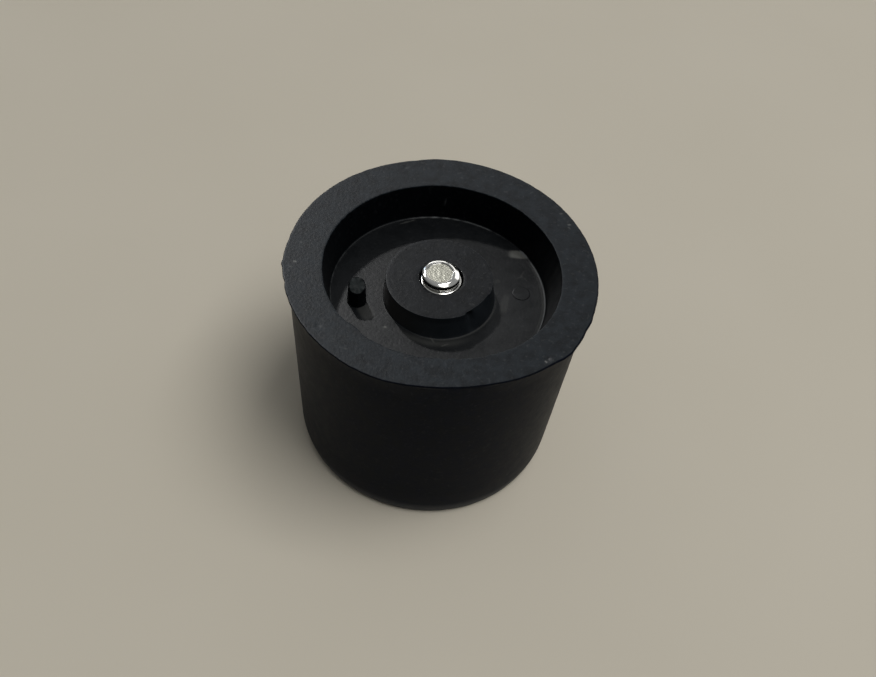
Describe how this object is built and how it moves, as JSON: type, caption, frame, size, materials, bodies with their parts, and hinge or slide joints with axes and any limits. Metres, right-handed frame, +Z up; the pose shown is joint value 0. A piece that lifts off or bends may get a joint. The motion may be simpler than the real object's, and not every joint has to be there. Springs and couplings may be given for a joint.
{
  "type": "rubber foot",
  "caption": "Round black rubber foot with a lipped rim, a recess round a centre boss, and the end of a short steel pin standing out of the boss.",
  "frame": {"origin": "centre of the flat underside", "axes": "+Z up along the foot's axis, out of the recess and the pin's end; +X towards the low pad on the recess floor, about 9 degrees off it; -X towards the peg, about 16 degrees off it"},
  "size_m": [0.038, 0.038, 0.0296],
  "materials": {
    "rubber": "matte",
    "steel": "polished"
  },
  "bodies": {
    "root": {"rubber_foot": "rubber", "steel_pin": "steel"}
  },
  "joints": []
}
